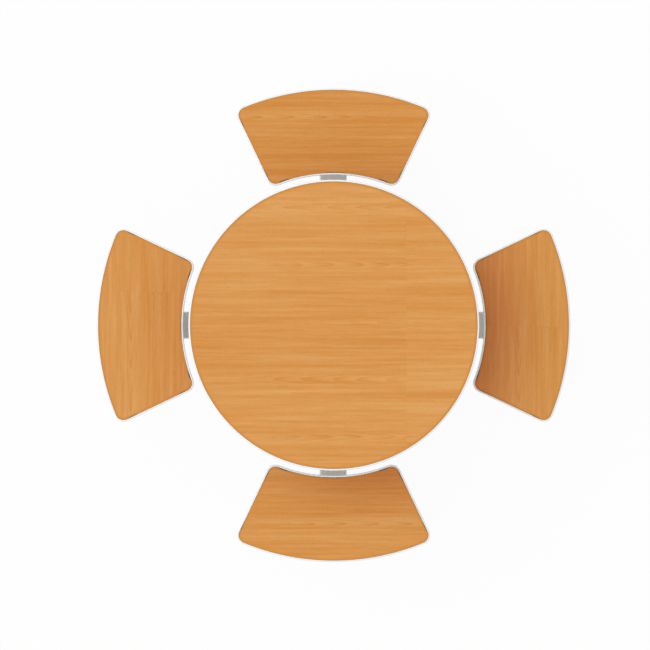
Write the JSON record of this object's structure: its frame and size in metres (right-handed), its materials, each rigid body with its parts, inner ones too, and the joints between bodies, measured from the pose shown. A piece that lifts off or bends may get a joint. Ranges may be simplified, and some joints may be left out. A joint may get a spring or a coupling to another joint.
{
  "type": "round table with bench seats",
  "caption": "Round dining table joined to curved bench seats by one steel frame with a centre column, low beams, mitred posts and levelling feet.",
  "frame": {"origin": "on the floor, under the middle of the round table", "axes": "+Z up; +X and +Y towards two neighbouring benches, +Y is up in the picture"},
  "size_m": [1.688, 1.688, 0.74],
  "materials": {
    "laminate": "satin beech-pattern laminate on board",
    "edging": "cool white, satin",
    "frame_steel": "silver-grey powder coat",
    "dark_plastic": "dark grey, matt",
    "zinc_steel": "zinc plated"
  },
  "bodies": {
    "frame": {"table_top": "laminate", "table_edging": "edging", "table_spider": "frame_steel", "column_head_plate": "frame_steel", "centre_column": "frame_steel", "column_base_cap": "dark_plastic", "seat_board_1": "laminate", "seat_edging_1": "edging", "seat_plate_1": "frame_steel", "seat_post_1": "frame_steel", "seat_beam_1": "frame_steel", "beam_bracket_1": "frame_steel", "foot_bar_1": "frame_steel", "foot_bar_cap_1a": "dark_plastic", "foot_bar_cap_1b": "dark_plastic", "seat_board_2": "laminate", "seat_edging_2": "edging", "seat_plate_2": "frame_steel", "seat_post_2": "frame_steel", "seat_beam_2": "frame_steel", "beam_bracket_2": "frame_steel", "foot_bar_2": "frame_steel", "foot_bar_cap_2a": "dark_plastic", "foot_bar_cap_2b": "dark_plastic", "seat_board_3": "laminate", "seat_edging_3": "edging", "seat_plate_3": "frame_steel", "seat_post_3": "frame_steel", "seat_beam_3": "frame_steel", "beam_bracket_3": "frame_steel", "foot_bar_3": "frame_steel", "foot_bar_cap_3a": "dark_plastic", "foot_bar_cap_3b": "dark_plastic", "seat_board_4": "laminate", "seat_edging_4": "edging", "seat_plate_4": "frame_steel", "seat_post_4": "frame_steel", "seat_beam_4": "frame_steel", "beam_bracket_4": "frame_steel", "foot_bar_4": "frame_steel", "foot_bar_cap_4a": "dark_plastic", "foot_bar_cap_4b": "dark_plastic"},
    "foot_pad_1a": {"foot_pad_1a": "dark_plastic"},
    "foot_spindle_1a": {"foot_spindle_1a": "zinc_steel"},
    "foot_pad_1b": {"foot_pad_1b": "dark_plastic"},
    "foot_spindle_1b": {"foot_spindle_1b": "zinc_steel"},
    "foot_pad_2a": {"foot_pad_2a": "dark_plastic"},
    "foot_spindle_2a": {"foot_spindle_2a": "zinc_steel"},
    "foot_pad_2b": {"foot_pad_2b": "dark_plastic"},
    "foot_spindle_2b": {"foot_spindle_2b": "zinc_steel"},
    "foot_pad_3a": {"foot_pad_3a": "dark_plastic"},
    "foot_spindle_3a": {"foot_spindle_3a": "zinc_steel"},
    "foot_pad_3b": {"foot_pad_3b": "dark_plastic"},
    "foot_spindle_3b": {"foot_spindle_3b": "zinc_steel"},
    "foot_pad_4a": {"foot_pad_4a": "dark_plastic"},
    "foot_spindle_4a": {"foot_spindle_4a": "zinc_steel"},
    "foot_pad_4b": {"foot_pad_4b": "dark_plastic"},
    "foot_spindle_4b": {"foot_spindle_4b": "zinc_steel"}
  },
  "joints": [
    {"name": "foot_travel_1a", "type": "slide", "parent": "frame", "child": "foot_pad_1a", "axis": [0, 0, -1], "range_m": [0, 0.012]},
    {"name": "foot_turn_1a", "type": "hinge", "parent": "foot_pad_1a", "child": "foot_spindle_1a", "pos_m": [0.69, 0.188, 0.02], "axis": [0, 0, -1], "range_deg": [0, 2880]},
    {"name": "foot_travel_1b", "type": "slide", "parent": "frame", "child": "foot_pad_1b", "axis": [0, 0, -1], "range_m": [0, 0.012]},
    {"name": "foot_turn_1b", "type": "hinge", "parent": "foot_pad_1b", "child": "foot_spindle_1b", "pos_m": [0.69, -0.188, 0.02], "axis": [0, 0, -1], "range_deg": [0, 2880]},
    {"name": "foot_travel_2a", "type": "slide", "parent": "frame", "child": "foot_pad_2a", "axis": [0, 0, -1], "range_m": [0, 0.012]},
    {"name": "foot_turn_2a", "type": "hinge", "parent": "foot_pad_2a", "child": "foot_spindle_2a", "pos_m": [-0.188, 0.69, 0.02], "axis": [0, 0, -1], "range_deg": [0, 2880]},
    {"name": "foot_travel_2b", "type": "slide", "parent": "frame", "child": "foot_pad_2b", "axis": [0, 0, -1], "range_m": [0, 0.012]},
    {"name": "foot_turn_2b", "type": "hinge", "parent": "foot_pad_2b", "child": "foot_spindle_2b", "pos_m": [0.188, 0.69, 0.02], "axis": [0, 0, -1], "range_deg": [0, 2880]},
    {"name": "foot_travel_3a", "type": "slide", "parent": "frame", "child": "foot_pad_3a", "axis": [0, 0, -1], "range_m": [0, 0.012]},
    {"name": "foot_turn_3a", "type": "hinge", "parent": "foot_pad_3a", "child": "foot_spindle_3a", "pos_m": [-0.69, -0.188, 0.02], "axis": [0, 0, -1], "range_deg": [0, 2880]},
    {"name": "foot_travel_3b", "type": "slide", "parent": "frame", "child": "foot_pad_3b", "axis": [0, 0, -1], "range_m": [0, 0.012]},
    {"name": "foot_turn_3b", "type": "hinge", "parent": "foot_pad_3b", "child": "foot_spindle_3b", "pos_m": [-0.69, 0.188, 0.02], "axis": [0, 0, -1], "range_deg": [0, 2880]},
    {"name": "foot_travel_4a", "type": "slide", "parent": "frame", "child": "foot_pad_4a", "axis": [0, 0, -1], "range_m": [0, 0.012]},
    {"name": "foot_turn_4a", "type": "hinge", "parent": "foot_pad_4a", "child": "foot_spindle_4a", "pos_m": [0.188, -0.69, 0.02], "axis": [0, 0, -1], "range_deg": [0, 2880]},
    {"name": "foot_travel_4b", "type": "slide", "parent": "frame", "child": "foot_pad_4b", "axis": [0, 0, -1], "range_m": [0, 0.012]},
    {"name": "foot_turn_4b", "type": "hinge", "parent": "foot_pad_4b", "child": "foot_spindle_4b", "pos_m": [-0.188, -0.69, 0.02], "axis": [0, 0, -1], "range_deg": [0, 2880]}
  ],
  "couplings": [
    {"joint": "foot_turn_1a", "follows": "foot_travel_1a", "rad_per_m": 4188.8},
    {"joint": "foot_turn_1b", "follows": "foot_travel_1b", "rad_per_m": 4188.8},
    {"joint": "foot_turn_2a", "follows": "foot_travel_2a", "rad_per_m": 4188.8},
    {"joint": "foot_turn_2b", "follows": "foot_travel_2b", "rad_per_m": 4188.8},
    {"joint": "foot_turn_3a", "follows": "foot_travel_3a", "rad_per_m": 4188.8},
    {"joint": "foot_turn_3b", "follows": "foot_travel_3b", "rad_per_m": 4188.8},
    {"joint": "foot_turn_4a", "follows": "foot_travel_4a", "rad_per_m": 4188.8},
    {"joint": "foot_turn_4b", "follows": "foot_travel_4b", "rad_per_m": 4188.8}
  ]
}
